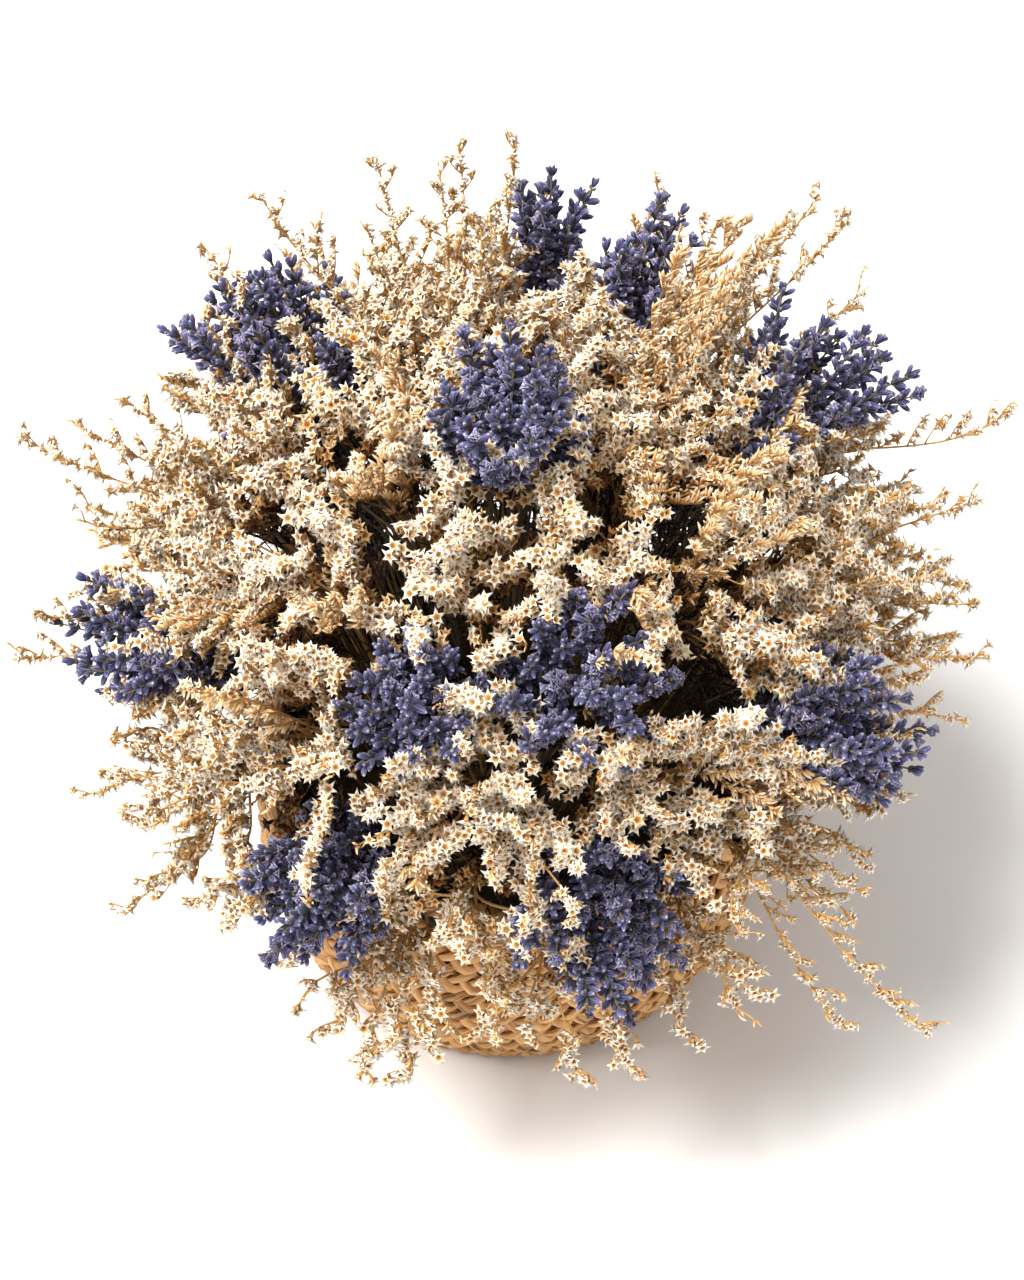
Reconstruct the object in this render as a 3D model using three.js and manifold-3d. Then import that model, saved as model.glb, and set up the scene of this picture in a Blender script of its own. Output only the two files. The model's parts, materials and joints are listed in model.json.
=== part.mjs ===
// Dried lavender and German statice set in dry foam in a round woven basket.
// Millimetres, +Z up. The origin is the middle of the basket's base, on the surface it stands on.
import * as THREE from 'three';
import { mergeVertices } from 'three/addons/utils/BufferGeometryUtils.js';
import Module from 'manifold-3d';

const wasm = await Module();
wasm.setup();

// ---------------------------------------------------------------- driving dimensions
const fitGap = 0.4;              // clearance between pieces that touch
const roundSides = 40;           // facets around the basket

// basket
const footRadius = 91;           // outer radius of the wall where it stands
const bellyRadius = 108;         // outer radius at the widest row
const shoulderRadius = 105;      // outer radius of the wall just under the rim
const wallHeight = 104;          // top of the woven wall
const bellyShare = 0.56;         // how far up the wall the widest row sits
const wallRows = 8;              // braided rows from the base to the rim
const wallThickness = 7;         // one braided row
const baseThickness = 8;         // coiled base
const rimBraid = 14;             // height and width of the braided rim
const rimFacets = 8;             // facets across the rim, flat side down on the wall

// dry foam that holds the stems
const foamSideGap = 2;           // slack between the foam and the wall
const foamDrop = 14;             // foam's top below the top of the wall
const foamEase = 5;              // rounding of the foam's upper edge
const socketDepth = 46;          // how deep a stem is pushed into the foam
const socketGap = 0.5;           // slack around a stem in its socket

// flowers: a stem, then a head that fills a cone about the line from the mouth to its tip
const stemSides = 6;
const staticeStem = 1.7;         // radius of one branched stem
const lavenderStem = 3;          // radius of a gathered handful of thin stems
const headSpread = 8.2;          // half-angle of the cone that one head fills, degrees
const staticeHead = [[0.7, 0.2], [0.76, 0.62], [0.83, 1], [0.89, 0.96], [0.95, 0.6], [1, 0.16]];
const lavenderHead = [[0.72, 0.25], [0.78, 0.55], [0.85, 0.92], [0.91, 1], [0.96, 0.8], [1, 0.3]];
const ballRadius = 194;          // the tips lie about on a ball
const ballRise = 60;             // middle of the ball above the mouth of the basket
const mouthDrop = 8;             // mouth, where the flowers' lines meet, below the top of the rim
const rimClearance = 6;          // between the rim and a stem that leans over it
const skirtArch = 8;             // extra height of the leaning stems over the rim
const skirtLength = 50;          // how far the leaning heads stand out beyond the rim
const skirtDroop = 32;           // how far their tips hang below the top of the rim
const neckShare = 0.46;          // where a head starts, as a share of its reach
const stemEnd = 0.03;            // cut end of a stem, as a share of its path: clear of the socket
const stemSplay = 0.9;           // cut end's distance from the middle, as a share of the exit's
const bendShare = 0.5;           // where a stem bends between the foam and its head
const foamStations = [0.12, 0.25, 0.3];   // where a stem bends inside its socket and just above
const freeStations = [0.42, 0.58];        // where it bends on its way to the head
const reachVariation = 0.05;     // share by which lengths differ
const angleVariation = 0.7;      // degrees by which directions differ

const weldReach = 1e-4;          // points closer than this are one point

// ---------------------------------------------------------------- places worked out from them
const rimTop = wallHeight + fitGap + rimBraid;
const foamTop = wallHeight - foamDrop;
const foamFloor = baseThickness + fitGap;
const foamWaist = foamTop / 2;
const rimMiddle = shoulderRadius - wallThickness / 2;
const mouth = new THREE.Vector3(0, 0, rimTop - mouthDrop);

// The wall's curve: a parabola below the widest row and another above it.
function wallCurve(z) {
  const belly = wallHeight * bellyShare;
  const low = z < belly;
  const t = low ? (belly - z) / belly : (z - belly) / (wallHeight - belly);
  return bellyRadius - (bellyRadius - (low ? footRadius : shoulderRadius)) * t * t;
}

// The wall is straight from one row to the next.
function wallOuter(z) {
  const row = wallHeight / wallRows;
  const below = Math.min(wallRows - 1, Math.floor(z / row));
  const share = z / row - below;
  return wallCurve(below * row) * (1 - share) + wallCurve((below + 1) * row) * share;
}

function wallInner(z) {
  return wallOuter(z) - wallThickness;
}

// ---------------------------------------------------------------- materials
function finish(color, roughness) {
  return new THREE.MeshStandardMaterial({ color, roughness, metalness: 0 });
}

const seagrass = finish(0xd7a56e, 0.75);
const rimGrass = finish(0xe0b27c, 0.75);
const foam = finish(0x6f6a55, 0.95);
const staticeCream = finish(0xe3d3b6, 0.85);
const lavenderBlue = finish(0x6f6488, 0.85);

const object = new THREE.Group();

function place(name, geometry, material) {
  const mesh = new THREE.Mesh(geometry, material);
  mesh.name = name;
  object.add(mesh);
  return mesh;
}

// ---------------------------------------------------------------- solids
// A lathe turns about +Y, so its axis is laid along +Z.
function turned(profile, sides = roundSides) {
  const points = profile.map(([r, z]) => new THREE.Vector2(r, z));
  return new THREE.LatheGeometry(points, sides).rotateX(Math.PI / 2);
}

function toSolid(geometry) {
  const bare = geometry.clone();
  bare.deleteAttribute('normal');
  bare.deleteAttribute('uv');
  const merged = mergeVertices(bare, weldReach);
  const solid = new wasm.Mesh({
    numProp: 3,
    vertProperties: new Float32Array(merged.attributes.position.array),
    triVerts: new Uint32Array(merged.index.array),
  });
  return new wasm.Manifold(solid);
}

function toGeometry(solid) {
  const mesh = solid.getMesh();
  const geometry = new THREE.BufferGeometry();
  geometry.setAttribute('position', new THREE.BufferAttribute(mesh.vertProperties, 3));
  geometry.setIndex(new THREE.BufferAttribute(mesh.triVerts, 1));
  geometry.computeVertexNormals();
  return geometry;
}

// A profile of [share of length, radius] turned round a curved path.
function turnedAlong(path, profile, sides = stemSides) {
  const geometry = new THREE.LatheGeometry(profile.map(([t, r]) => new THREE.Vector2(r, t)), sides);
  const position = geometry.attributes.position;
  const side = new THREE.Vector3(0, 1, 0).cross(path.getTangent(1));
  const across = side.lengthSq() > 1e-6 ? side.normalize() : new THREE.Vector3(1, 0, 0);
  for (let i = 0; i < position.count; i += 1) {
    const t = position.getY(i);
    const tangent = path.getTangent(t);
    const u = across.clone().addScaledVector(tangent, -across.dot(tangent)).normalize();
    const v = new THREE.Vector3().crossVectors(u, tangent);
    const point = path.getPoint(t);
    point.addScaledVector(u, position.getX(i)).addScaledVector(v, position.getZ(i));
    position.setXYZ(i, point.x, point.y, point.z);
  }
  geometry.computeVertexNormals();
  return geometry;
}

// ---------------------------------------------------------------- basket
function basketBase() {
  const edge = (z) => [wallInner(z) - fitGap, z];
  return turned([[0, 0], edge(0), edge(baseThickness), [0, baseThickness]]);
}

function basketWall() {
  const heights = Array.from({ length: wallRows + 1 }, (_, i) => wallHeight * i / wallRows);
  const outside = heights.map((z) => [wallOuter(z), z]);
  const inside = heights.map((z) => [wallInner(z), z]).reverse();
  return turned([...outside, ...inside, outside[0]]);
}

function basketRim() {
  const half = rimBraid / 2;
  const middle = wallHeight + fitGap + half;
  const profile = Array.from({ length: rimFacets + 1 }, (_, i) => {
    const a = (i + 0.5) * 2 * Math.PI / rimFacets;
    const flat = half / Math.cos(Math.PI / rimFacets);
    return [rimMiddle + flat * Math.cos(a), middle + flat * Math.sin(a)];
  });
  return turned(profile);
}

function foamBlock() {
  const slack = foamSideGap;
  return turned([
    [0, foamFloor], [wallInner(foamFloor) - slack, foamFloor],
    [wallInner(foamWaist) - slack, foamWaist],
    [wallInner(foamTop) - slack, foamTop - foamEase],
    [wallInner(foamTop) - slack - foamEase, foamTop], [0, foamTop],
  ]);
}

// ---------------------------------------------------------------- flowers
// The skirt leans over the rim. Every other ring rises to the ball of tips: neck and tip are its
// angles above the level. Headings count anticlockwise from +X and start at turn, root is how far
// out in the foam the stems stand, and lavender lists the places that hold a lavender bunch.
const skirt = { places: 14, turn: 18.9, root: 0.76, lavender: [2, 4] };
const risingRings = [
  { places: 14, turn: 6, neck: 25, tip: 16, root: 0.62, lavender: [9, 11] },
  { places: 11, turn: 1, neck: 41, tip: 37, root: 0.46, lavender: [6, 10] },
  { places: 9, turn: 7, neck: 57, tip: 55, root: 0.32, lavender: [0, 2, 3, 6, 7] },
  { places: 5, turn: 48, neck: 72.5, tip: 72.5, root: 0.16, lavender: [0] },
  { places: 1, turn: 264, neck: 89, tip: 89, root: 0, lavender: [0] },
];

// A repeatable scatter from -1 to 1, each number the last one's multiple within a span.
const scatterStep = 16807;
const scatterSpan = 2147483647;
let scatterState = 41;
function scatter() {
  scatterState = (scatterState * scatterStep) % scatterSpan;
  return 2 * scatterState / scatterSpan - 1;
}

function direction(heading, lift) {
  const h = THREE.MathUtils.degToRad(heading);
  const l = THREE.MathUtils.degToRad(lift);
  return new THREE.Vector3(Math.cos(l) * Math.cos(h), Math.cos(l) * Math.sin(h), Math.sin(l));
}

// From the mouth to the ball of tips, whose middle is ballRise above it.
function reachOf(lift) {
  const l = THREE.MathUtils.degToRad(lift);
  return ballRise * Math.sin(l) + Math.sqrt(ballRadius ** 2 - (ballRise * Math.cos(l)) ** 2);
}

// A point at a distance from the basket's axis and a height above the ground.
function pointAt(heading, distance, height) {
  return direction(heading, 0).multiplyScalar(distance).setZ(height);
}

// A stem's cut end in the foam and its exit from it, the bend, the head's neck and its tip.
function pathThrough(ring, heading, bend, neck, tip) {
  const rooted = (wallInner(foamTop) - foamSideGap - foamEase) * ring.root;
  const end = pointAt(heading, rooted * stemSplay, foamTop - socketDepth);
  const exit = pointAt(heading, rooted, foamTop);
  const middle = bend ?? exit.clone().lerp(neck, bendShare);
  return new THREE.CatmullRomCurve3([end, exit, middle, neck, tip], false, 'centripetal');
}

function risingPath(ring, heading, tilt, length) {
  const reach = reachOf(ring.tip) * length;
  const tip = mouth.clone().addScaledVector(direction(heading, ring.tip + tilt), reach);
  const neck = mouth.clone().addScaledVector(direction(heading, ring.neck + tilt), reach * neckShare);
  return pathThrough(ring, heading, null, neck, tip);
}

function leaningPath(heading, length) {
  const clear = rimBraid / 2 + rimClearance;
  const outside = rimMiddle + clear;
  const bend = pointAt(heading, rimMiddle - clear, rimTop);
  const neck = pointAt(heading, outside, rimTop + rimClearance + skirtArch);
  const tip = pointAt(heading, outside + skirtLength * length, rimTop - skirtDroop);
  return pathThrough(skirt, heading, bend, neck, tip);
}

function flower(path, stemRadius, head) {
  const spread = Math.tan(THREE.MathUtils.degToRad(headSpread));
  const swell = ([t, share]) => [t, path.getPoint(t).distanceTo(mouth) * spread * share];
  const stem = [stemEnd, ...foamStations, ...freeStations].map((t) => [t, stemRadius]);
  return turnedAlong(path, [[stemEnd, 0], ...stem, ...head.map(swell), [1, 0]]);
}

function socket(path, stemRadius) {
  const wall = [0, ...foamStations].map((t) => [t, stemRadius + socketGap]);
  return turnedAlong(path, [[0, 0], ...wall, [foamStations.at(-1), 0]]);
}

// ---------------------------------------------------------------- assembly
place('basket_base', basketBase(), seagrass);
place('basket_wall', basketWall(), seagrass);
place('basket_rim', basketRim(), rimGrass);

const counts = { lavender_bunch: 0, statice_spray: 0 };
let bored = toSolid(foamBlock());

function plant(ring, index) {
  const isLavender = ring.lavender.includes(index);
  const heading = ring.turn + index * 360 / ring.places + scatter() * angleVariation;
  const tilt = scatter() * angleVariation;
  const length = 1 + scatter() * reachVariation;
  const path = ring === skirt ? leaningPath(heading, length) : risingPath(ring, heading, tilt, length);
  const radius = isLavender ? lavenderStem : staticeStem;
  const kind = isLavender ? 'lavender_bunch' : 'statice_spray';
  counts[kind] += 1;
  const name = `${kind}_${String(counts[kind]).padStart(2, '0')}`;
  place(name, flower(path, radius, isLavender ? lavenderHead : staticeHead),
    isLavender ? lavenderBlue : staticeCream);
  bored = bored.subtract(toSolid(socket(path, radius)));
}

[skirt, ...risingRings].forEach((ring) => {
  for (let index = 0; index < ring.places; index += 1) {
    plant(ring, index);
  }
});
place('foam_block', toGeometry(bored), foam);

export default object;
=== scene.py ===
import json
import math
import bmesh
import bpy
import numpy as np
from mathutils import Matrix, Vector, noise

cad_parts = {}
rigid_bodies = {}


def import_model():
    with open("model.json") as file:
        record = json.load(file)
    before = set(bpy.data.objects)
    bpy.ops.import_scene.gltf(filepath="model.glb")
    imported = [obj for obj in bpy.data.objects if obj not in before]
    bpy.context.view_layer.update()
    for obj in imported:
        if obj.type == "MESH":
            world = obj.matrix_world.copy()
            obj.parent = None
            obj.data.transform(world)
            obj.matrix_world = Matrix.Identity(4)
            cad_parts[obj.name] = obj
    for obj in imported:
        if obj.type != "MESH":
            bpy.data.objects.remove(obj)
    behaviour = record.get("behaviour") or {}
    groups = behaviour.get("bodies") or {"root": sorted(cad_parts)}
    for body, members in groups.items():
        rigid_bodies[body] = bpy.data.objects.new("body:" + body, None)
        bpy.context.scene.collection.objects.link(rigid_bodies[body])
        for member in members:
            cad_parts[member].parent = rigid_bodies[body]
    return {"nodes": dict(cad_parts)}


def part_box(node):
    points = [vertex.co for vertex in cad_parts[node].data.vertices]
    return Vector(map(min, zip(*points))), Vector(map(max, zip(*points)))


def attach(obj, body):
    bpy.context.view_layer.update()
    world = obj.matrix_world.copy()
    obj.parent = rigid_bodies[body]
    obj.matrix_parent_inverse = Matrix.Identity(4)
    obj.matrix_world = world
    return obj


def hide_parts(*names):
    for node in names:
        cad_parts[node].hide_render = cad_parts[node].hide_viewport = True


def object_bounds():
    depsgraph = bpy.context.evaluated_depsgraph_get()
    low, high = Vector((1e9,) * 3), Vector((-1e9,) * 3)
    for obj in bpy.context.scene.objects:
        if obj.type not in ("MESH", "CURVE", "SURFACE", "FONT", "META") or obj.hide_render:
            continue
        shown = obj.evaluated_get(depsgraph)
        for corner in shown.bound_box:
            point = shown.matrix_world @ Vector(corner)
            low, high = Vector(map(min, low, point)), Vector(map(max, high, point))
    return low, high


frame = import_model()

cadBox = [list(corner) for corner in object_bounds()]
mm = 0.001
chance = np.random.default_rng(7)
golden = math.pi * (3 - math.sqrt(5))
print("frame loaded")


# Vector helpers. Every array's last axis is x, y, z.

def unit(v):
    return v / np.maximum(np.linalg.norm(v, axis=-1, keepdims=True), 1e-12)


def dot(a, b):
    return (a * b).sum(-1, keepdims=True)


def sideways(direction):
    # Two unit vectors square to each direction.
    helper = np.where(np.abs(direction[..., 2:3]) < 0.8, [0.0, 0.0, 1.0], [1.0, 0.0, 0.0])
    u = unit(np.cross(helper, direction))
    return u, np.cross(direction, u)


def leaning(direction, angle, turn):
    # The direction tipped over by an angle, towards a turn about itself.
    u, v = sideways(direction)
    angle, turn = np.asarray(angle)[..., None], np.asarray(turn)[..., None]
    return direction * np.cos(angle) + (u * np.cos(turn) + v * np.sin(turn)) * np.sin(angle)


def bezier(a, b, c, d, count):
    t = np.linspace(0, 1, count).reshape([-1] + [1])
    a, b, c, d = (np.asarray(p)[..., None, :] for p in (a, b, c, d))
    return a * (1 - t) ** 3 + b * 3 * t * (1 - t) ** 2 + c * 3 * t * t * (1 - t) + d * t ** 3


def smoothPath(points, count):
    # A Catmull-Rom curve through the points, evenly spaced along its length.
    p = np.vstack([2 * points[0] - points[1], points, 2 * points[-1] - points[-2]])
    fine = []
    for i in range(len(points) - 1):
        a, b, c, d = p[i:i + 4]
        t = np.linspace(0, 1, 12, endpoint=False)[:, None]
        fine.append(0.5 * (2 * b + (c - a) * t + (2 * a - 5 * b + 4 * c - d) * t ** 2
                           + (3 * b - a - 3 * c + d) * t ** 3))
    fine = np.vstack(fine + [points[-1:]])
    run = np.concatenate([[0], np.cumsum(np.linalg.norm(np.diff(fine, axis=0), axis=1))])
    return pick(fine, run, np.linspace(0, run[-1], count))


def pick(path, run, at):
    return np.stack([np.interp(at, run, path[:, k]) for k in range(3)], -1)


# Shader wires. Arithmetic on a wire adds Math nodes.

class Wire:
    def __init__(self, bench, socket):
        self.bench, self.socket = bench, socket

    def math(self, operation, left, right=0.0):
        return self.bench.node("ShaderNodeMath", {"operation": operation}, {0: left, 1: right})

    def only(self, operation):
        # An operation on this one value, such as its cosine.
        return self.math(operation, self)

    def __add__(self, other):
        return self.math("ADD", self, other)

    def __radd__(self, other):
        return self.math("ADD", other, self)

    def __sub__(self, other):
        return self.math("SUBTRACT", self, other)

    def __rsub__(self, other):
        return self.math("SUBTRACT", other, self)

    def __mul__(self, other):
        return self.math("MULTIPLY", self, other)

    def __rmul__(self, other):
        return self.math("MULTIPLY", other, self)


class Bench:
    def __init__(self, name):
        self.finish = bpy.data.materials.new(name)
        self.finish.use_nodes = True
        self.tree = self.finish.node_tree
        self.shader = next(n for n in self.tree.nodes if n.type == "BSDF_PRINCIPLED")

    def node(self, kind, settings=None, sockets=None, output=0):
        made = self.tree.nodes.new(kind)
        for key, value in (settings or {}).items():
            if key == "stops":
                self.stops(made.color_ramp, value)
            else:
                setattr(made, key, value)
        for key, value in (sockets or {}).items():
            self.feed(made.inputs[key], value)
        return Wire(self, made.outputs[output])

    def stops(self, ramp, stops):
        while len(ramp.elements) < len(stops):
            ramp.elements.new(0.5)
        for element, (place, colour) in zip(ramp.elements, stops):
            element.position, element.color = place, (*colour, 1)

    def feed(self, socket, value):
        if isinstance(value, Wire):
            self.tree.links.new(value.socket, socket)
        else:
            socket.default_value = value

    def surface(self, **sockets):
        for key, value in sockets.items():
            self.feed(self.shader.inputs[key.replace("_", " ")], value)
        return self.finish

    def ramp(self, factor, stops):
        return self.node("ShaderNodeValToRGB", {"stops": stops}, {0: factor})

    def blend(self, factor, a, b, way="MIX"):
        settings = {"data_type": "RGBA", "blend_type": way}
        return self.node("ShaderNodeMix", settings, {0: factor, 6: a, 7: b}, 2)

    def noise(self, vector, scale, detail=3.0, roughness=0.6):
        return self.node("ShaderNodeTexNoise", {}, {
            "Vector": vector, "Scale": scale, "Detail": detail, "Roughness": roughness})

    def bump(self, height, distance, strength=0.6):
        return self.node("ShaderNodeBump", {}, {
            "Height": height, "Distance": distance, "Strength": strength})

    def stretched(self, vector, scale):
        return self.node("ShaderNodeVectorMath", {"operation": "MULTIPLY"}, {0: vector, 1: scale})

    def lanes(self, band):
        # A piece's map: u runs along a petal or stem. v holds lanes, one for each step of tone and
        # painted shade, and a lane is crossed once round the petal or stem.
        low, high = band
        place = self.node("ShaderNodeUVMap", {"uv_map": "OFBake"})
        u = self.node("ShaderNodeSeparateXYZ", {}, {0: place})
        v = self.node("ShaderNodeSeparateXYZ", {}, {0: place}, 1)
        counted = (v - low) * (laneCount / (high - low))
        across = (counted.only("FRACT") - laneMargin) * (1 / (1 - 2 * laneMargin))
        toneAndShading = counted.only("FLOOR") * (1 / (laneCount - 1))
        return place, u, across, toneAndShading


laneCount = 12
laneMargin = 0.1


# Shapes that are copied many times, and the growth that collects the copies of a piece.

def wrap(rings, sides, ribs=0.0):
    # A closed turned shape. Each ring is (height, radius, share along), and may add its own
    # depth of ribs.
    turn = np.arange(sides) * 2 * math.pi / sides
    points, along, across, faces = [], [], [], []
    for z, r, share, *rib in rings:
        bulge = 1 + (rib[0] if rib else ribs) * np.cos(np.arange(sides) * math.pi)
        points += [(r * b * math.cos(a), r * b * math.sin(a), z) for a, b in zip(turn, bulge)]
        along += [share] * sides
        across += list(np.arange(sides) / sides)
    for k in range(len(rings) - 1):
        for i in range(sides):
            a, b = k * sides + i, k * sides + (i + 1) % sides
            faces += [(a, b, b + sides), (a, b + sides, a + sides)]
    for end, first in ((rings[0], 0), (rings[-1], (len(rings) - 1) * sides)):
        hub = len(points)
        points.append((0, 0, end[0]))
        along.append(end[2])
        across.append(0.5)
        for i in range(sides):
            pair = (first + i, first + (i + 1) % sides)
            faces.append((hub, *(pair[::-1] if first == 0 else pair)))
    return {"points": np.array(points, float), "faces": np.array(faces),
            "along": np.array(along, float), "across": np.array(across, float)}


def band(shape, low, high, finish):
    return {**shape, "band": (low, high), "finish": finish}


class Growth:
    def __init__(self):
        self.points, self.faces, self.uvs, self.finishes = [], [], [], []
        self.count = 0

    def take(self, points, faces, uvs, finish):
        self.points.append(points)
        self.faces.append(faces + self.count)
        self.uvs.append(uvs)
        self.finishes.append(np.full(len(faces), finish))
        self.count += len(points)

    def copies(self, shape, places, axes, spins, sizes, tonesAndShading):
        # Copies of a shape, its +Z laid along each axis and spun about it.
        u, v = sideways(axes)
        cos, sin = np.cos(spins)[:, None], np.sin(spins)[:, None]
        basis = np.stack([u * cos + v * sin, v * cos - u * sin, axes], 1)
        scaled = shape["points"][None] * sizes[:, None, None]
        points = np.einsum("kni,kij->knj", scaled, basis) + places[:, None]
        self.fill(shape, points, tonesAndShading)

    def fill(self, shape, points, tonesAndShading):
        number, each = points.shape[:2]
        low, high = shape["band"]
        lane = np.floor(np.clip(tonesAndShading, 0, 0.999) * laneCount)
        corners = shape["faces"]
        across = shape["across"][corners]
        across = np.where((across.max(1) - across.min(1) > 0.5)[:, None] & (across < 0.5),
                          across + 1, across)
        inLane = laneMargin + (1 - 2 * laneMargin) * np.clip(across, 0, 1)
        v = low + (high - low) * (lane[:, None, None] + inLane[None]) / laneCount
        u = np.broadcast_to(shape["along"][corners][None], v.shape)
        faces = corners[None] + (np.arange(number) * each)[:, None, None]
        self.take(points.reshape(-1, 3), faces.reshape(-1, 3),
                  np.stack([u, v], -1).reshape(-1, 3, 2), shape["finish"])

    def tubes(self, paths, radii, sides, tonesAndShading, bandAndFinish):
        # Closed tubes along many paths at once: paths are (number, steps, 3).
        tangent = unit(np.gradient(paths, axis=1))
        helper = sideways(unit(paths[:, -1] - paths[:, 0]))[0][:, None]
        u = unit(helper - tangent * dot(helper, tangent))
        v = np.cross(tangent, u)
        turn = np.arange(sides) * 2 * math.pi / sides
        out = u[:, :, None] * np.cos(turn)[:, None] + v[:, :, None] * np.sin(turn)[:, None]
        points = paths[:, :, None] + out * radii[..., None, None]
        number, steps = paths.shape[:2]
        points = np.concatenate([points.reshape(number, -1, 3), paths[:, :1], paths[:, -1:]], 1)
        pattern = wrap([(0, 1, k / (steps - 1)) for k in range(steps)], sides)
        self.fill(band(pattern, *bandAndFinish), points, tonesAndShading)

    def piece(self, name, finishes, slot, nodes):
        points = np.concatenate(self.points)
        faces = np.concatenate(self.faces)
        uvs = np.concatenate(self.uvs)
        mesh = bpy.data.meshes.new(name)
        mesh.vertices.add(len(points))
        mesh.vertices.foreach_set("co", points.astype(np.float32).ravel())
        mesh.loops.add(faces.size)
        mesh.loops.foreach_set("vertex_index", faces.astype(np.int32).ravel())
        mesh.polygons.add(len(faces))
        mesh.polygons.foreach_set("loop_start", np.arange(0, faces.size, 3, dtype=np.int32))
        mesh.polygons.foreach_set("material_index",
                                  np.concatenate(self.finishes).astype(np.int32))
        for finish in finishes:
            mesh.materials.append(finish)
        mesh.update(calc_edges=True)
        mesh.uv_layers.new(name="OFBake").data.foreach_set("uv", uvs.astype(np.float32).ravel())
        mesh.shade_smooth()
        made = bpy.data.objects.new(name, mesh)
        bpy.context.scene.collection.objects.link(made)
        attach(made, "root")
        for node in nodes:
            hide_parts(node)
        return made


# Where the model says things are.

rimLow, rimHigh = (np.array(corner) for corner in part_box("basket_rim"))
rimOuter = rimHigh[0]
rimTop = rimHigh[2]
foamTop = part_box("foam_block")[1][2]
mouth = np.array([0, 0, rimTop - 8 * mm])
ballRadius = (cadBox[1][0] - cadBox[0][0]) / 2
ballMiddle = np.array([0, 0, cadBox[1][2] - ballRadius])


def spineOf(node):
    # Middles of the rings of a flower's solid, from its cut end to its tip.
    mesh = frame["nodes"][node].data
    raw = np.empty(len(mesh.vertices) * 3)
    mesh.vertices.foreach_get("co", raw)
    points, same = np.unique(raw.reshape(-1, 3).round(6), axis=0, return_inverse=True)
    same = same.ravel()
    near = [set() for _ in points]
    for edge in mesh.edges:
        a, b = same[edge.vertices[0]], same[edge.vertices[1]]
        if a != b:
            near[a].add(b)
            near[b].add(a)
    offset = [np.linalg.norm(points[list(n)].mean(0) - p) for n, p in zip(near, points)]
    ends = np.argsort(offset)[:2]
    start = ends[np.argmin(np.linalg.norm(points[ends] - [0, 0, foamTop - 0.05], axis=1))]
    seen, ring, spine = {start}, {start}, []
    while ring:
        spine.append(points[list(ring)].mean(0))
        ring = set().union(*(near[i] for i in ring)) - seen
        seen |= ring
    return np.array(spine[1:-1])


spines = {name: spineOf(name) for name in sorted(frame["nodes"]) if name[:4] in ("lave", "stat")}
print("spines read:", len(spines), {len(s) for s in spines.values()})


# Basket: plaits of three seagrass strands laid ring over ring.

basket = {
    "rows": 8, "foot": 1.2 * mm, "turn": 27 * mm, "wide": 2.4 * mm, "thick": 1.5 * mm,
    "lift": 1.7 * mm, "sides": 8, "wander": 0.12, "twist": 0.35,
    "rimTurn": 40 * mm, "rimWide": 3.4 * mm, "rimThick": 2.2 * mm, "rimLift": 2.5 * mm,
    "rimInset": (6.6 * mm, 6.8 * mm), "rimSways": (4.6 * mm, 3.4 * mm), "rimSlant": (-0.75, 0.66),
    "rimDrop": (1.5 * mm, 3 * mm), "rimCore": 4.5 * mm, "rimCoreDrop": 1.5 * mm,
    "baseRow": 11.5 * mm, "baseHeight": 4.4 * mm, "baseSway": 3.2 * mm, "baseShare": 0.9,
    "coreInset": 3.6 * mm, "coreThick": 0.8 * mm,
    "straw": (0.76, 0.46, 0.20), "honey": (0.55, 0.29, 0.105),
    # The core colours are near black: painted shade seen through the gaps between strands.
    "coreShade": (0.06, 0.03, 0.012), "coreShadeDark": (0.03, 0.016, 0.007),
}


def seagrassMaterial(lanes):
    bench = Bench("seagrass")
    place = bench.node("ShaderNodeUVMap", {"uv_map": "OFBake"})
    fibres = bench.noise(bench.stretched(place, (30, lanes * 4.5, 1)), 1.0, 4.0, 0.7)
    patches = bench.noise(bench.stretched(place, (22, lanes * 1.1, 1)), 1.0, 2.0, 0.5)
    colour = bench.ramp(patches, [(0.3, basket["honey"]), (0.62, basket["straw"])])
    streaks = bench.ramp(fibres, [(0.34, (0.16, 0.10, 0.06)), (0.46, (0.78, 0.72, 0.64)),
                                  (0.6, (1.05, 1.02, 1.0)), (0.75, (1.3, 1.25, 1.15))])
    return bench.surface(Base_Color=bench.blend(1.0, colour, streaks, "MULTIPLY"), Roughness=0.62,
                         Specular_IOR_Level=0.35, Normal=bench.bump(fibres, 0.8 * mm, 1.0))


def coreShadeMaterial():
    # Painted shade: a near-black core with a fine random grain, seen through the gaps between strands.
    bench = Bench("basketCoreShade")
    grain = bench.noise(bench.node("ShaderNodeTexCoord", {}, {}, 3), 400.0)
    colour = bench.ramp(grain, [(0.3, basket["coreShadeDark"]), (0.7, basket["coreShade"])])
    return bench.surface(Base_Color=colour, Roughness=0.9)


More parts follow.
